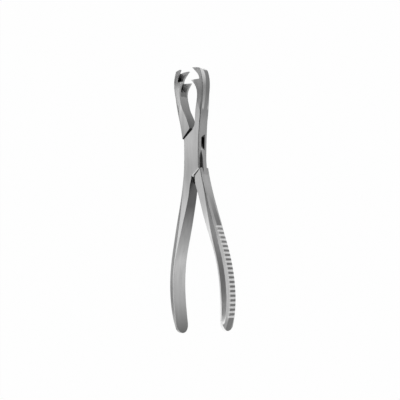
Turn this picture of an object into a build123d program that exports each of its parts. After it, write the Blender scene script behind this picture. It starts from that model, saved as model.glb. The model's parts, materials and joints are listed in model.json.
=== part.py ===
from build123d import *
import os

# Bone holding forceps with a box joint. Lengths are millimetres and angles are degrees.
# The instrument lies flat: X is the way the jaws open, +Y runs to the jaw tips and +Z is up.
# Both arms are drawn fully closed, with the pivot on the Z axis, and are then opened about it.

# Overall sizes, closed
jaw_reach = 61.4  # pivot to the tips of the upper teeth
handle_reach = 129.8  # pivot to the handle ends
joint_thickness = 9.8
handle_width = 13.8
rest_opening = 7.5  # angle between the arms as the instrument lies, past fully closed

# Box joint
slot_width = 4.2  # between the two cheeks of the box
side_clearance = 0.06  # on each side of the tongue that passes through the slot
shoulder_angle = 41.0  # of the sloping shoulders, from the X direction
upper_shoulder = 12.6  # pivot to the shoulder of the box below the jaws
lower_shoulder = 13.3  # pivot to the shoulder of the box above the handles
shoulder_gap = 0.3  # left between the arms when they are fully closed
shoulder_bevel = 0.8  # on the front and back edges of the box's shoulders
slot_end_angle = 32.4  # of the end walls of the slot, from the Y direction
slot_end_reach = 11.8  # pivot to an end wall
# Outline of the tongue on its right, from the handle to the jaw; its left is the same turned round.
# It stands a little proud of the sides of the box.
tongue_corners = [
    (7.0, -17.0), (7.3, -13.5), (7.7, -4.5), (6.9, 0.8), (4.9, 8.2), (0.6, 18.2), (-3.6, 23.0),
]  # fmt: skip

# Pivot pin, a rivet ground flush with the cheeks
pin_diameter = 4.4
pin_clearance = 0.03  # radial, in the tongue
rivet_flare = 0.5  # depth and growth of the countersinks that the riveted ends fill

# Ground outline of one side, seen from above: handle end to joint, and on to the jaw top. Along a
# jaw, places are shares of the jaw's reach.
outer_points = [
    (12.0, -128.4), (14.9, -124.0), (18.0, -115.3), (19.8, -103.0), (19.9, -89.0), (18.3, -74.0),
    (14.4, -55.3), (11.0, -41.0), (8.6, -28.0), (7.2, -17.0), (6.7, -6.0), (6.8, 6.0), (7.4, 19.0),
]  # fmt: skip
outer_jaw_shares = [
    (8.8, 0.489), (10.3, 0.627), (11.2, 0.765), (11.0, 0.863), (10.0, 0.936), (8.2, 1.018),
]  # fmt: skip
# Half depth along the instrument, as height and place
handle_depth_points = [(handle_width / 2, -92.0), (6.5, -70.0), (5.9, -50.0), (5.2, -37.0)]
jaw_depth_shares = [(4.7, 0.391), (4.8, 0.537), (5.4, 0.7), (5.95, 0.847), (6.1, 1.026)]
flat_joint = (-26.0, 14.0)
# Flat inner face of a handle, from its end to the crotch
handle_inner_points = [
    (10.3, -130.5), (12.5, -114.5), (13.9, -94.0), (12.4, -76.0), (8.6, -59.5), (4.7, -43.0),
    (1.9, -29.0), (0.6, -21.2),
]  # fmt: skip
box_handle_root = [(0.0, -18.9), (-0.3, -17.2)]
tongue_handle_root = [(0.9, -18.0), (1.9, -14.0)]
# Inner edge of a jaw, from the crotch to the tip of the lower tooth
box_jaw_root = [(0.9, 17.2), (2.35, 19.3), (2.9, 22.2)]
tongue_jaw_root = [(-1.4, 15.0), (-0.5, 18.2)]
box_jaw_shares = [(3.1, 0.424)]
tongue_jaw_shares = [(1.8, 0.44)]
jaw_inner_shares = [(3.7, 0.521), (4.6, 0.594), (5.1, 0.668), (4.3, 0.764), (3.2, 0.801), (0.5, 0.852)]

# Teeth and scoop, as x and share of the jaw's reach
tooth_notch_share = (6.9, 0.863)
tooth_hollow_shares = [(6.6, 0.894), (4.9, 0.938)]
upper_tip_share = (1.5, 1.0)
jaw_top_shares = [(5.0, 1.0), (8.2, 0.979), (9.9, 0.936)]
scoop_floor_shares = [(4.2, 0.745), (7.6, 0.785), (8.9, 0.83), (8.9, 0.87), (8.3, 0.93), (6.4, 1.018)]
scoop_mouth_x = -5.0  # cutting shape only: past the teeth of the jaw
scoop_half_width = 2.5  # at the floor
scoop_flare = 0.2  # growth of the half width for each millimetre towards the teeth

# Cross section of an arm, from the flat face over two bevel strips to the crown: drop of the edge
# of the face, half width of the crown, and where the strips meet, as shares of the bevel's sides
box_shape = (0.0, 2.1, 0.95, 0.16)
handle_shape = (0.0, 3.2, 0.65, 0.4)
jaw_shape = (1.6, 2.3, 0.2, 0.1)
box_edge_inset = 0.8
jaw_edge_inset = 2.2
jaw_face_from = 0.5  # x from which the face of a jaw slopes down to its edge
handle_edge = 1.0  # flat edge beside the inner face of a handle
handle_blend = (-20.0, -78.0)  # the box section turns into the handle section between these
jaw_blend = (24.0, 50.0)

# Finger grooves across the crown of the tongue arm's handle
groove_first = -55.8
groove_last = -120.4
groove_count = 21
groove_depth = 0.55
groove_radius = 0.95

# Place of the pivot, so that the origin is below the middle of the instrument at rest
half_opening = rest_opening / 2
pivot_y = (handle_reach - jaw_reach) / 2
pivot_z = handle_width / 2
cheek_top = joint_thickness / 2
slot_top = slot_width / 2
spare = 0.5  # cutting shapes reach past the faces that they trim
far = 60.0  # reach of cutting blocks near the joint
loft_steps = 32



def up_jaw(shares):
    return [(x, share * jaw_reach) for x, share in shares]


outer_line = Spline(*outer_points, *up_jaw(outer_jaw_shares))
handle_inner_line = Spline(*handle_inner_points)
handle_depth_line = Spline(
    *handle_depth_points, (cheek_top, flat_joint[0]), tangents=[(0, 1), (0, 1)]
)
jaw_depth_line = Spline((cheek_top, flat_joint[1]), *up_jaw(jaw_depth_shares))


def along(line, y):
    # Reading of an outline at one place along the instrument, for lines that run towards +Y
    low, high = 0.0, 1.0
    for _ in range(40):
        middle = (low + high) / 2
        if (line @ middle).Y < y:
            low = middle
        else:
            high = middle
    return (line @ low).X


def half_depth(y):
    if y < flat_joint[0]:
        return along(handle_depth_line, y)
    if y > flat_joint[1]:
        return along(jaw_depth_line, y)
    return cheek_top


def ease(y, start, end):
    # Smooth change from 0 at start to 1 at end
    t = min(max((y - start) / (end - start), 0.0), 1.0)
    return t * t * (3 - 2 * t)


def mix(a, b, t):
    return a + (b - a) * t


def cross_section(y):
    # Section of the right side; its flat faces lie proud and are trimmed by the side view
    as_handle = ease(y, *handle_blend)
    as_jaw = ease(y, *jaw_blend)
    shape, share = (handle_shape, as_handle) if y < 0 else (jaw_shape, as_jaw)
    drop, crown, bend_x, bend_z = [mix(b, s, share) for b, s in zip(box_shape, shape)]
    depth = half_depth(y)
    crown_x = along(outer_line, y)
    inset = mix(box_edge_inset, jaw_edge_inset, as_jaw)
    edge_x = mix(crown_x - inset, along(handle_inner_line, y) + handle_edge, as_handle)
    edge_z = depth - drop
    strip_x = mix(edge_x, crown_x, bend_x)
    strip_z = mix(edge_z, crown, bend_z)
    lift = spare * (1 - as_jaw)
    lifted_x = edge_x - lift * (strip_x - edge_x) / (edge_z - strip_z)
    half = [
        (0, depth + spare),
        (mix(edge_x / 2, jaw_face_from, as_jaw), depth + spare),
        (lifted_x, edge_z + lift),
        (strip_x, strip_z),
        (crown_x, crown),
    ]
    ring = half + [(x, -z) for x, z in reversed(half)]
    return Face(Wire.make_polygon([Vector(x, y, z) for x, z in ring]))


def side_view():
    # Depth of the instrument along its length; a handle ends in a half circle
    radius = handle_width / 2
    centre = radius - handle_reach
    start = handle_depth_points[0]
    top = up_jaw(jaw_depth_shares)[-1]
    upper = [
        Line((radius, centre), start),
        handle_depth_line,
        Line((cheek_top, flat_joint[0]), (cheek_top, flat_joint[1])),
        jaw_depth_line,
    ]
    lower = [mirror(line, about=Plane.YZ).edge() for line in upper]
    end = ThreePointArc((radius, centre), (0, -handle_reach), (-radius, centre))
    outline = make_face(Wire([end, *upper, Line(top, (-top[0], top[1])), *lower]))
    # The outline is drawn with its depth along X, and is stood up about the Y axis
    return Rot(0, 90, 0) * extrude(outline, far, both=True)


def ground_outline():
    # Both sides as they are ground together in one sweep, from the handle ends to the jaw tops
    ends = (-handle_reach - spare, jaw_reach + spare)
    side = loft([cross_section(mix(*ends, n / loft_steps)) for n in range(loft_steps + 1)])
    return (side + mirror(side, about=Plane.YZ)) & side_view()


def plan(*edges):
    # A block with the given outline, seen from above, through the whole depth
    return extrude(make_face(Wire(list(edges))), handle_width, both=True)


def jaw_plan(root):
    # Inner edge with its two teeth and the rounded top, for the jaw that rises from these points
    inner = up_jaw(jaw_inner_shares)
    notch, tip = up_jaw([tooth_notch_share, upper_tip_share])
    top = up_jaw(jaw_top_shares)
    corner = top[-1]
    return plan(
        Spline(*root, *inner),
        Line(inner[-1], notch),
        Spline(notch, *up_jaw(tooth_hollow_shares), tip),
        Line(tip, top[0]),
        ThreePointArc(*top),
        Line(corner, (far, corner[1])),
        Line((far, corner[1]), (far, 0)),
        Line((far, 0), (root[0][0], 0)),
        Line((root[0][0], 0), root[0]),
    )


def handle_plan(root):
    # Everything outside the flat inner face of a handle
    end, top = handle_inner_points[0], root[-1]
    return plan(
        Spline(*handle_inner_points, *root),
        Line(top, (top[0], 0)),
        Line((top[0], 0), (far, 0)),
        Line((far, 0), (far, end[1])),
        Line((far, end[1]), end),
    )


def scoop():
    # Hollow between the two side walls of a jaw, open at the top and towards the other jaw
    floor = up_jaw(scoop_floor_shares)
    low, high = floor[0], floor[-1]
    hollow = plan(
        Spline(*floor),
        Line(high, (scoop_mouth_x, high[1])),
        Line((scoop_mouth_x, high[1]), (scoop_mouth_x, low[1])),
        Line((scoop_mouth_x, low[1]), low),
    )
    floor_x = max(x for x, y in floor) + spare
    mouth = scoop_half_width + scoop_flare * (floor_x - scoop_mouth_x)
    ring = [
        Vector(floor_x, 0, scoop_half_width),
        Vector(scoop_mouth_x, 0, mouth),
        Vector(scoop_mouth_x, 0, -mouth),
        Vector(floor_x, 0, -scoop_half_width),
    ]
    return hollow & extrude(Face(Wire.make_polygon(ring)), 2 * far, dir=(0, 1, 0))


def below_upper_shoulder(distance):
    # Everything on the pivot's side of the sloping shoulder below the jaws
    return Rot(0, 0, shoulder_angle) * Pos(0, distance - far, 0) * Box(4 * far, 2 * far, far)


def above_lower_shoulder(distance):
    return Rot(0, 0, 180) * below_upper_shoulder(distance)


def mirrored(shape):
    return mirror(shape, about=Plane.YZ)


def slot():
    # Window between the cheeks, from one end wall to the other
    width = 2 * slot_end_reach
    return Rot(0, 0, slot_end_angle) * Box(width, 4 * far, slot_width)


def rivet():
    # Shank with its two ends spread into the countersinks
    radius = pin_diameter / 2
    end = Cone(radius, radius + rivet_flare, rivet_flare)
    place = cheek_top - rivet_flare / 2
    return Cylinder(radius, joint_thickness) + Pos(0, 0, place) * end + Pos(0, 0, -place) * (
        Rot(180, 0, 0) * end
    )


def box_arm(ground):
    # Right jaw, the box with its two cheeks, and the left handle
    box = ground & below_upper_shoulder(upper_shoulder) & above_lower_shoulder(lower_shoulder)
    across = Axis.X.located(Rot(0, 0, shoulder_angle))
    box = chamfer(box.edges().filter_by(across), shoulder_bevel)
    jaw = ground & (jaw_plan(box_jaw_root + up_jaw(box_jaw_shares)) - scoop())
    handle = ground & mirrored(handle_plan(box_handle_root))
    return box + jaw + handle - slot() - rivet()


def tongue():
    # Flat middle of the other arm, which passes through the slot and turns on the pin
    corners = tongue_corners + [(-x, -y) for x, y in tongue_corners]
    flat = extrude(make_face(Polyline(*corners, close=True)), slot_top - side_clearance, both=True)
    return flat - Cylinder(pin_diameter / 2 + pin_clearance, joint_thickness)


def finger_grooves():
    pitch = (groove_last - groove_first) / (groove_count - 1)
    cutters = []
    for n in range(groove_count):
        y = groove_first + n * pitch
        x = along(outer_line, y) + groove_radius - groove_depth
        cutters.append(Pos(x, y, 0) * Cylinder(groove_radius, handle_width))
    return cutters


def tongue_arm(ground):
    # Left jaw, the tongue, and the right handle with its finger grooves
    jaw = ground & mirrored(jaw_plan(tongue_jaw_root + up_jaw(tongue_jaw_shares)) - scoop())
    jaw -= below_upper_shoulder(upper_shoulder + shoulder_gap)
    handle = ground & handle_plan(tongue_handle_root)
    handle -= above_lower_shoulder(lower_shoulder + shoulder_gap)
    handle -= finger_grooves()
    return jaw + tongue() + handle


def placed(shape, opening):
    return Pos(0, pivot_y, pivot_z) * Rot(0, 0, opening) * shape


ground = ground_outline()
nodes = {
    "box_arm": placed(box_arm(ground), -half_opening),
    "tongue_arm": placed(tongue_arm(ground), half_opening),
    "pivot_pin": placed(rivet(), -half_opening),
}

os.makedirs("parts", exist_ok=True)
for name, shape in nodes.items():
    export_step(shape, f"parts/{name}.step")
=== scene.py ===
import bpy
import bmesh
import json
from math import atan2, cos, degrees, radians, sin
from mathutils import Matrix, Vector


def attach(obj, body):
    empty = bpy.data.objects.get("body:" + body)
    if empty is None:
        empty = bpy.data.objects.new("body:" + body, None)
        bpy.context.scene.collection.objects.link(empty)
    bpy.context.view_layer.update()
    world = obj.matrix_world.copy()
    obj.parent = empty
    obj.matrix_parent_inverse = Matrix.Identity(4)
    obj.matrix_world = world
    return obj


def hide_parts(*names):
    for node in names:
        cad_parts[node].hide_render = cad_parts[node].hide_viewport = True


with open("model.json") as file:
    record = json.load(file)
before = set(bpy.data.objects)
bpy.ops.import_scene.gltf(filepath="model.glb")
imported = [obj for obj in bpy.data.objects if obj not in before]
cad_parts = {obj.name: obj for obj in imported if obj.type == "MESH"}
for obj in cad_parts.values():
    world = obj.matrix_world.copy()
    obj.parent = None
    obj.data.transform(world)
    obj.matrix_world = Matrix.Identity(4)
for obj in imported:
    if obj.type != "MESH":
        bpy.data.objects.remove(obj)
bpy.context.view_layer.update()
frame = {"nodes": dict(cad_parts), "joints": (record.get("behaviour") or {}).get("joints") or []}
print("frame loaded")

# The joint gives the places: the arms meet at the pivot, and each is turned half the opening
joint = frame["joints"][0]
pivot = Vector(joint["pos_m"])
halfOpening = radians(-joint["range_deg"][0] / 2)


# Camera, fitted to the photograph
camera = {
    "turn": 36.0,  # degrees round the instrument's length, from straight above
    "rise": -5.42,  # degrees towards the jaws
    "roll": 2.92,
    "distance": 0.9,
    "focalPixels": 1245.78,
    "picturePixels": 400,
    "sensorWidth": 36,
    "aside": 0.003422,  # of the pivot from the middle of the picture, in metres
    "along": 0.033954,
}


def makeCamera(c):
    turn, rise, roll = radians(c["turn"]), radians(c["rise"]), radians(c["roll"])
    back = Vector((sin(turn) * cos(rise), sin(rise), cos(turn) * cos(rise)))
    across = Vector((cos(turn), 0, -sin(turn)))
    up = back.cross(across)
    right = across * cos(roll) - up * sin(roll)
    top = across * sin(roll) + up * cos(roll)
    place = pivot + c["aside"] * right - c["along"] * top + c["distance"] * back
    data = bpy.data.cameras.new("camera")
    data.sensor_width = c["sensorWidth"]
    data.lens = c["focalPixels"] / c["picturePixels"] * c["sensorWidth"]
    obj = bpy.data.objects.new("camera", data)
    obj.matrix_world = Matrix.Translation(place) @ Matrix((right, top, back)).transposed().to_4x4()
    bpy.context.scene.collection.objects.link(obj)
    bpy.context.scene.camera = obj


makeCamera(camera)
print("camera placed")


# Nodes of the materials
def newMaterial(name):
    material = bpy.data.materials.new(name)
    material.use_nodes = True
    material.node_tree.nodes.clear()
    return material, material.node_tree


def addNode(tree, kind, inputs=None, **settings):
    node = tree.nodes.new(kind)
    for key, value in settings.items():
        setattr(node, key, value)
    for key, value in (inputs or {}).items():
        if isinstance(value, bpy.types.NodeSocket):
            tree.links.new(value, node.inputs[key])
        else:
            node.inputs[key].default_value = value
    return node


def reckon(tree, operation, *values):
    return addNode(tree, "ShaderNodeMath", dict(enumerate(values)), operation=operation).outputs[0]


def grey(level):
    return (level, level, level, 1)


def greyRamp(tree, value, stops):
    ramp = addNode(tree, "ShaderNodeValToRGB", {0: value})
    marks = ramp.color_ramp.elements
    for mark in list(marks)[1:]:
        marks.remove(mark)
    for n, (share, tone) in enumerate(stops):
        mark = marks[0] if n == 0 else marks.new(share)
        mark.color = grey(tone)
    return ramp.outputs[0]


# Steels. Lengths are metres, and a scale is marks per metre. A finish has one tone, with a painted tone on
# the instrument's outer edges, or else painted tones along the arms, as pairs of place and tone. These
# painted tones stand in for the reflections and shade that each kind of face gets. A place is metres from the
# pivot towards the jaws.
satin = {
    "tone": 0.49, "toneChange": 0.08, "streakScale": 420, "streakFrom": 0.3, "streakTo": 0.7,
    "roughness": 0.30, "roughnessChange": 0.06,
    "grainScale": 2600, "grainStretch": 0.08, "grainDetail": 3.0, "grainDepth": 0.000004,
    "edgeRound": 0.0003, "edgeSamples": 6, "rivetReach": 0.0034,
    # Painted shade: the shade settings darken hollows and the gaps between parts, by ambient occlusion
    "shadeReach": 0.012, "shadeTone": 0.10, "shadeFrom": 0.10, "shadeTo": 0.55, "shadeSamples": 8,
    # Painted shade: the outer painted tone makes the outer edges darker, in place of their darker reflections
    "outerPaintedTone": 0.28, "outerFrom": 0.90, "outerTo": 0.985,
}  # fmt: skip
# Painted shade: the inside of the slot is near black, as the shade in it
slotShade = dict(
    satin, tone=0.045, outerPaintedTone=0.045, toneChange=0.2, roughness=0.55, roughnessChange=0.1, shadeTone=0.02
)
# Painted shade: a scoop's walls are dark at the bottom, by the distance from the closed arm's middle plane
scoop = dict(
    satin, tone=0.50, outerPaintedTone=0.50, shadeReach=0.0005, deepFrom=0.0070, deepTo=0.0084, deepShadeTone=0.02
)
finishesAndPaintedLight = {
    "satin": satin,
    "slotShade": slotShade,
    # Painted shade: the tongue's flats in the slot are dark, as the shade there
    "tongue": dict(slotShade, tone=0.16, outerPaintedTone=0.16, roughness=0.4, shadeTone=0.06),
    # Painted shade: the shoulders are darker than the satin
    "shoulder": dict(satin, tone=0.40, outerPaintedTone=0.40, shadeReach=0.0002),
    # Painted highlight on the grooves, which are lighter, and painted shade on the lands between them
    "groove": dict(satin, tone=0.60, outerPaintedTone=0.60, shadeReach=0.0005),
    "land": dict(satin, tone=0.42, outerPaintedTone=0.15),
    # Painted highlight: the box's bevels are lighter than the satin
    "bevel": dict(satin, tone=0.66, shadeReach=0.0005),
    # Painted reflections and shade: tones along each kind of face, so that the right arm and the left arm
    # differ
    "inner": dict(satin, shadeReach=0.002, paintedTones=[
        (-0.130, 0.12), (-0.106, 0.37), (-0.077, 0.50), (-0.063, 0.34), (-0.038, 0.11), (0.017, 0.09),
        (0.045, 0.30),
    ]),
    "jawSide": dict(satin, paintedTones=[(0.023, 0.28), (0.043, 0.15), (0.0614, 0.20)]),
    "jawBevel": dict(satin, paintedTones=[(0.030, 0.49), (0.041, 0.235), (0.047, 0.25), (0.0614, 0.75)]),
    "rightJawFace": dict(satin, paintedTones=[(0.023, 0.49), (0.043, 0.35), (0.052, 0.58), (0.0614, 0.95)]),
    "leftJawFace": dict(satin, paintedTones=[
        (0.012, 0.36), (0.030, 0.50), (0.040, 0.84), (0.047, 0.80), (0.053, 0.34), (0.0614, 0.70),
    ]),
    "handleSide": dict(satin, paintedTones=[(-0.122, 0.17), (-0.047, 0.17), (-0.024, 0.37), (-0.017, 0.34)]),
    "handleBevel": dict(satin, paintedTones=[
        (-0.1225, 0.30), (-0.119, 0.45), (-0.070, 0.45), (-0.050, 0.34), (-0.017, 0.34),
    ]),
    "rightHandleFace": dict(satin, paintedTones=[
        (-0.111, 0.95), (-0.100, 0.62), (-0.085, 0.58), (-0.060, 0.74), (-0.035, 0.49),
    ]),
    "leftHandleFace": dict(satin, paintedTones=[
        (-0.120, 0.43), (-0.095, 0.50), (-0.070, 0.67), (-0.052, 0.67), (-0.017, 0.41),
    ]),
    "boxFace": dict(satin, paintedTones=[(-0.010, 0.41), (0.006, 0.49)]),
    "scoop": scoop,
    # Painted shade: the scoop's floor is dark
    "scoopFloor": dict(scoop, tone=0.15, outerPaintedTone=0.15),
}  # fmt: skip


def outwardness(tree, coordinates):
    # 1 on the outer edges of the instrument, where the faces look away from its middle
    at = addNode(tree, "ShaderNodeSeparateXYZ", {0: coordinates.outputs["Object"]})
    facing = addNode(tree, "ShaderNodeSeparateXYZ", {0: coordinates.outputs["Normal"]})
    return reckon(tree, "MULTIPLY", reckon(tree, "SIGN", at.outputs["X"]), facing.outputs["X"])


def paintedToneAlong(tree, place, stops):
    at = addNode(tree, "ShaderNodeSeparateXYZ", {0: place})
    first, last = stops[0][0], stops[-1][0]
    share = addNode(tree, "ShaderNodeMapRange", {
        "Value": at.outputs["Y"], "From Min": pivot.y + first, "From Max": pivot.y + last,
    })
    return greyRamp(tree, share.outputs[0], [((y - first) / (last - first), tone) for y, tone in stops])


def depthShade(tree, place, s):
    # Painted shade: 1 near the closed arm's own middle plane, and down to the deep shade tone away from it
    at = addNode(tree, "ShaderNodeSeparateXYZ", {0: place})
    turned = reckon(tree, "MULTIPLY", reckon(tree, "ABSOLUTE", at.outputs["X"]), cos(halfOpening))
    sine = sin(halfOpening)
    lean = reckon(tree, "MULTIPLY_ADD", at.outputs["Y"], -sine, pivot.y * sine)
    return addNode(tree, "ShaderNodeMapRange", {
        "Value": reckon(tree, "ADD", turned, lean), "From Min": s["deepFrom"], "From Max": s["deepTo"],
        "To Min": 1.0, "To Max": s["deepShadeTone"],
    }, interpolation_type="SMOOTHSTEP").outputs[0]


def plainTone(tree, coordinates, s):
    # The tone before the streaks, with its painted reflections and shade
    place = coordinates.outputs["Object"]
    if "paintedTones" in s:
        return paintedToneAlong(tree, place, s["paintedTones"])
    tone = addNode(tree, "ShaderNodeMapRange", {
        "Value": outwardness(tree, coordinates), "From Min": s["outerFrom"], "From Max": s["outerTo"],
        "To Min": s["tone"], "To Max": s["outerPaintedTone"],
    }, interpolation_type="SMOOTHSTEP").outputs[0]
    return reckon(tree, "MULTIPLY", tone, depthShade(tree, place, s)) if "deepShadeTone" in s else tone


def edgeNormal(tree, place, s):
    # Edges are rounded, but not at the rivet, which is ground flush with the cheeks
    edge = addNode(tree, "ShaderNodeBevel", {"Radius": s["edgeRound"]}, samples=s["edgeSamples"])
    fromPin = addNode(tree, "ShaderNodeVectorMath", {0: place, 1: pivot}, operation="SUBTRACT")
    flat = addNode(tree, "ShaderNodeVectorMath", {0: fromPin.outputs[0], 1: (1, 1, 0)}, operation="MULTIPLY")
    away = addNode(tree, "ShaderNodeVectorMath", {0: flat.outputs[0]}, operation="LENGTH")
    plain = addNode(tree, "ShaderNodeNewGeometry")
    return addNode(tree, "ShaderNodeMix", {
        "Factor": reckon(tree, "GREATER_THAN", away.outputs["Value"], s["rivetReach"]),
        "A": plain.outputs["Normal"], "B": edge.outputs[0],
    }, data_type="VECTOR").outputs["Result"]


def noise(tree, place, scale, s):
    settings = {"Vector": place, "Scale": scale, "Detail": s["grainDetail"]}
    return addNode(tree, "ShaderNodeTexNoise", settings).outputs["Fac"]


def steel(name, s):
    material, tree = newMaterial(name)
    coordinates = addNode(tree, "ShaderNodeTexCoord")
    place = coordinates.outputs["Object"]
    along = addNode(tree, "ShaderNodeMapping", {"Vector": place, "Scale": (1, s["grainStretch"], 1)})
    grain = noise(tree, along.outputs[0], s["grainScale"], s)
    change = addNode(tree, "ShaderNodeMapRange", {
        "Value": noise(tree, along.outputs[0], s["streakScale"], s),
        "From Min": s["streakFrom"], "From Max": s["streakTo"],
        "To Min": 1 - s["toneChange"], "To Max": 1 + s["toneChange"],
    })
    # Painted shade: darker where ambient occlusion finds other surfaces close by
    paintedHollowShade = addNode(
        tree, "ShaderNodeAmbientOcclusion", {"Distance": s["shadeReach"]}, samples=s["shadeSamples"]
    )
    shade = addNode(tree, "ShaderNodeMapRange", {
        "Value": paintedHollowShade.outputs["AO"], "From Min": s["shadeFrom"], "From Max": s["shadeTo"],
    })
    colour = addNode(tree, "ShaderNodeMix", {
        "Factor": shade.outputs[0], "A": grey(s["shadeTone"]),
        "B": reckon(tree, "MULTIPLY", plainTone(tree, coordinates, s), change.outputs[0]),
    }, data_type="RGBA")
    rough = addNode(tree, "ShaderNodeMapRange", {
        "Value": grain,
        "To Min": s["roughness"] - s["roughnessChange"], "To Max": s["roughness"] + s["roughnessChange"],
    })
    bump = addNode(tree, "ShaderNodeBump", {
        "Height": grain, "Strength": 1.0, "Distance": s["grainDepth"], "Normal": edgeNormal(tree, place, s),
    })
    shader = addNode(tree, "ShaderNodeBsdfPrincipled", {
        "Base Color": colour.outputs["Result"], "Roughness": rough.outputs[0],
        "Normal": bump.outputs[0], "Metallic": 1.0,
    })
    addNode(tree, "ShaderNodeOutputMaterial", {"Surface": shader.outputs[0]})
    return material


steels = {name: steel(name + "Steel", settings) for name, settings in finishesAndPaintedLight.items()}
print("materials made")


# Arms: merged copies of the solids, with a steel for each kind of face, whose tones are painted reflections
# and shade
arms = {
    "box_arm": {"body": "box_arm_and_pin", "turn": -halfOpening, "side": 1},
    "tongue_arm": {"body": "tongue_arm", "turn": halfOpening, "side": -1},
}
surface = {"mergeDistance": 1e-6, "smoothAngle": 6}
# Where the kinds of face lie on the closed arms: places are metres from the pivot, turns and tilts are
# degrees, and a facing is the part of a face's normal that looks one way
faceKinds = {
    "slotTurn": 32.4, "slotReach": 0.0125, "cheekInside": 0.00215, "flatFacing": 0.9,
    "bevelReach": 0.018, "bevelFacing": 0.707, "bevelSpread": 0.02,
    "shoulderTurn": 41.0, "shoulderFacing": 0.99,
    "scoopFrom": 0.043, "scoopHalf": 0.0063, "scoopReach": 0.0091, "floorHalf": 0.0033,
    "innerFrom": 0.012, "innerFacing": 0.7, "boxHalf": 0.017,
    "jawFrom": 0.012, "jawFaceTilt": 30, "jawBevelTilt": 85, "jawEndFacing": 0.7,
    "handleFrom": 0.017, "handleFaceTilt": 45, "handleBevelTilt": 87,
}  # fmt: skip
grooves = {
    "arm": "tongue_arm", "first": -0.0558, "last": -0.1204, "count": 21, "halfWidth": 0.00088,
    "crownFacing": 0.3,
}  # fmt: skip


def inGroove(y, g):
    pitch = (g["last"] - g["first"]) / (g["count"] - 1)
    nearest = min(max(round((y - g["first"]) / pitch), 0), g["count"] - 1)
    return abs(y - g["first"] - nearest * pitch) < g["halfWidth"]


def faceSteel(face, name, arm, f, g):
    # Which of the steels and their painted tones a face has, read in the closed arm's own frame
    back = Matrix.Rotation(-arm["turn"], 3, "Z")
    centre = back @ (face.calc_center_median() - pivot)
    normal = back @ face.normal
    onBoxArm = name == "box_arm"
    reach, depth = abs(centre.y), abs(centre.z)
    side = arm["side"] if centre.y > 0 else -arm["side"]
    outward, flatness = side * normal.x, abs(normal.z)
    tilt = degrees(atan2(outward, flatness))
    slotTurn, shoulderTurn = radians(f["slotTurn"]), radians(f["shoulderTurn"])

    inSlot = abs(centre.x * cos(slotTurn) + centre.y * sin(slotTurn)) < f["slotReach"]
    if inSlot and depth < f["cheekInside"] and (onBoxArm or flatness > f["flatFacing"]):
        return "slotShade" if onBoxArm else "tongue"
    if onBoxArm and reach < f["bevelReach"] and abs(flatness - f["bevelFacing"]) < f["bevelSpread"]:
        return "bevel"
    shoulderFacing = abs(normal.x * sin(shoulderTurn) - normal.y * cos(shoulderTurn))
    if shoulderFacing > f["shoulderFacing"] and reach < f["bevelReach"]:
        return "shoulder"
    inScoop = centre.y > f["scoopFrom"] and side * centre.x < f["scoopReach"] and depth < f["scoopHalf"]
    if inScoop and flatness > f["innerFacing"] and centre.z * normal.z < 0:
        return "scoop"
    if inScoop and outward < 0 and depth < f["floorHalf"]:
        return "scoopFloor"
    if outward < -f["innerFacing"] and reach > f["innerFrom"]:
        return "inner"
    if onBoxArm and reach < f["boxHalf"] and flatness > f["flatFacing"]:
        return "boxFace"
    if centre.y > f["jawFrom"]:
        if tilt < f["jawFaceTilt"] or normal.y > f["jawEndFacing"]:
            return "rightJawFace" if onBoxArm else "leftJawFace"
        return "jawBevel" if tilt < f["jawBevelTilt"] else "jawSide"
    if name == g["arm"] and flatness < g["crownFacing"]:
        if centre.x * normal.x > 0 and inGroove(centre.y, g):
            return "groove"
        if g["last"] - g["halfWidth"] < centre.y < g["first"]:
            return "land"
    if centre.y < -f["handleFrom"]:
        if tilt < f["handleFaceTilt"]:
            return "leftHandleFace" if onBoxArm else "rightHandleFace"
        return "handleBevel" if tilt < f["handleBevelTilt"] else "handleSide"
    return "satin"


def makeArm(name, arm, s):
    work = bmesh.new()
    work.from_mesh(frame["nodes"][name].data)
    bmesh.ops.remove_doubles(work, verts=work.verts, dist=s["mergeDistance"])
    for face in work.faces:
        face.smooth = True
        face.material_index = list(steels).index(faceSteel(face, name, arm, faceKinds, grooves))
    mesh = bpy.data.meshes.new(name + "_ground")
    work.to_mesh(mesh)
    work.free()
    mesh.set_sharp_from_angle(angle=radians(s["smoothAngle"]))
    for material in steels.values():
        mesh.materials.append(material)
    obj = bpy.data.objects.new(name + "_ground", mesh)
    bpy.context.scene.collection.objects.link(obj)
    even = obj.modifiers.new("evenNormals", "WEIGHTED_NORMAL")
    even.keep_sharp = True
    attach(obj, arm["body"])
    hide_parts(name)


for name, arm in arms.items():
    makeArm(name, arm, surface)
# The rivet keeps its own mesh, and has the steel of the box round it, with its painted tones
pin = frame["nodes"]["pivot_pin"]
pin.data.materials.clear()
pin.data.materials.append(steels["boxFace"])
print("arms finished")


# Floor and sky, which the camera and the steel see as white
stage = {"floorSize": 6.0, "floorTone": 0.80, "floorGlow": 0.985, "skyGlow": 0.45}


def seenDirectly(tree):
    # 1 for camera, mirror-like and see-through rays, 0 for the light that falls on things
    path = addNode(tree, "ShaderNodeLightPath").outputs
    first = reckon(tree, "MAXIMUM", path["Is Camera Ray"], path["Is Glossy Ray"])
    return reckon(tree, "MAXIMUM", first, path["Is Transmission Ray"])


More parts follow.
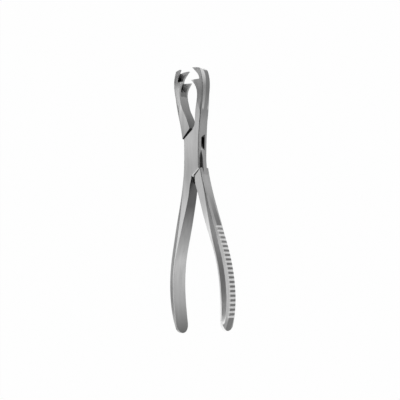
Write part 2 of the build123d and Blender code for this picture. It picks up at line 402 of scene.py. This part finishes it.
def makeFloor(s):
    work = bmesh.new()
    bmesh.ops.create_grid(work, x_segments=1, y_segments=1, size=s["floorSize"] / 2)
    mesh = bpy.data.meshes.new("floor")
    work.to_mesh(mesh)
    work.free()
    floor = bpy.data.objects.new("floor", mesh)
    bpy.context.scene.collection.objects.link(floor)
    material, tree = newMaterial("paleFloor")
    lit = addNode(tree, "ShaderNodeBsdfDiffuse", {"Color": grey(s["floorTone"])})
    glow = addNode(tree, "ShaderNodeEmission", {"Color": grey(1.0), "Strength": 1.0})
    share = reckon(tree, "MULTIPLY", seenDirectly(tree), s["floorGlow"])
    mix = addNode(tree, "ShaderNodeMixShader", {0: share, 1: lit.outputs[0], 2: glow.outputs[0]})
    addNode(tree, "ShaderNodeOutputMaterial", {"Surface": mix.outputs[0]})
    mesh.materials.append(material)


def makeSky(s):
    world = bpy.data.worlds.new("studio")
    bpy.context.scene.world = world
    world.use_nodes = True
    tree = world.node_tree
    tree.nodes.clear()
    strength = addNode(tree, "ShaderNodeMapRange", {
        "Value": seenDirectly(tree), "To Min": s["skyGlow"], "To Max": 1.0,
    })
    sky = addNode(tree, "ShaderNodeBackground", {"Color": grey(1.0), "Strength": strength.outputs[0]})
    addNode(tree, "ShaderNodeOutputWorld", {"Surface": sky.outputs[0]})


makeFloor(stage)
makeSky(stage)


# Lamps, each a square aimed at the pivot
lamps = {
    "key": {"towards": (-0.60, 0.10, 0.80), "distance": 1.0, "size": 0.7, "power": 0.25},
    "rim": {"towards": (0.95, 0.05, 0.32), "distance": 1.0, "size": 0.4, "power": 0.12},
}


def makeLamp(name, lamp):
    data = bpy.data.lights.new(name, "AREA")
    data.shape = "SQUARE"
    data.size = lamp["size"]
    data.energy = lamp["power"]
    obj = bpy.data.objects.new(name, data)
    back = Vector(lamp["towards"]).normalized()
    place = Matrix.Translation(pivot + back * lamp["distance"])
    obj.matrix_world = place @ back.to_track_quat("Z", "Y").to_matrix().to_4x4()
    bpy.context.scene.collection.objects.link(obj)


for name, lamp in lamps.items():
    makeLamp(name, lamp)


# A graded grey card curves over the instrument and shows only in its reflections. Its angles are
# degrees round the instrument's length, from straight above.
card = {
    "from": -88.0, "to": 55.0, "radius": 0.75, "length": 1.8, "steps": 48,
    "shades": [
        (-88, 0.30), (-72, 0.28), (-64, 0.32), (-57, 0.8), (-50, 1.0), (-30, 1.0), (-20, 0.85), (-8, 0.40),
        (6, 0.24), (14, 0.11), (25, 0.16), (32, 0.4), (40, 0.9), (46, 1.0),
    ],
}  # fmt: skip


def makeCard(c):
    start, span = radians(c["from"]), radians(c["to"] - c["from"])
    work = bmesh.new()
    at = Vector((sin(start), 0, cos(start))) * c["radius"]
    ends = [work.verts.new(at + Vector((0, y, 0))) for y in (-c["length"] / 2, c["length"] / 2)]
    edge = work.edges.new(ends)
    bmesh.ops.spin(
        work, geom=[edge, *ends], axis=(0, 1, 0), cent=(0, 0, 0), steps=c["steps"], angle=span,
        use_duplicate=False,
    )  # fmt: skip
    mesh = bpy.data.meshes.new("greyCard")
    work.to_mesh(mesh)
    work.free()
    obj = bpy.data.objects.new("greyCard", mesh)
    obj.location = pivot
    bpy.context.scene.collection.objects.link(obj)
    obj.visible_camera = False
    obj.visible_diffuse = False
    obj.visible_shadow = False
    material, tree = newMaterial("greyCard")
    place = addNode(tree, "ShaderNodeSeparateXYZ", {0: addNode(tree, "ShaderNodeTexCoord").outputs["Object"]})
    share = addNode(tree, "ShaderNodeMapRange", {
        "Value": reckon(tree, "ARCTAN2", place.outputs["X"], place.outputs["Z"]),
        "From Min": start, "From Max": start + span,
    })
    stops = [((turn - c["from"]) / (c["to"] - c["from"]), tone) for turn, tone in c["shades"]]
    shades = greyRamp(tree, share.outputs[0], stops)
    glow = addNode(tree, "ShaderNodeEmission", {"Color": shades, "Strength": 1.0})
    addNode(tree, "ShaderNodeOutputMaterial", {"Surface": glow.outputs[0]})
    mesh.materials.append(material)


makeCard(card)
bpy.context.scene.view_settings.view_transform = "Standard"
print("studio made")
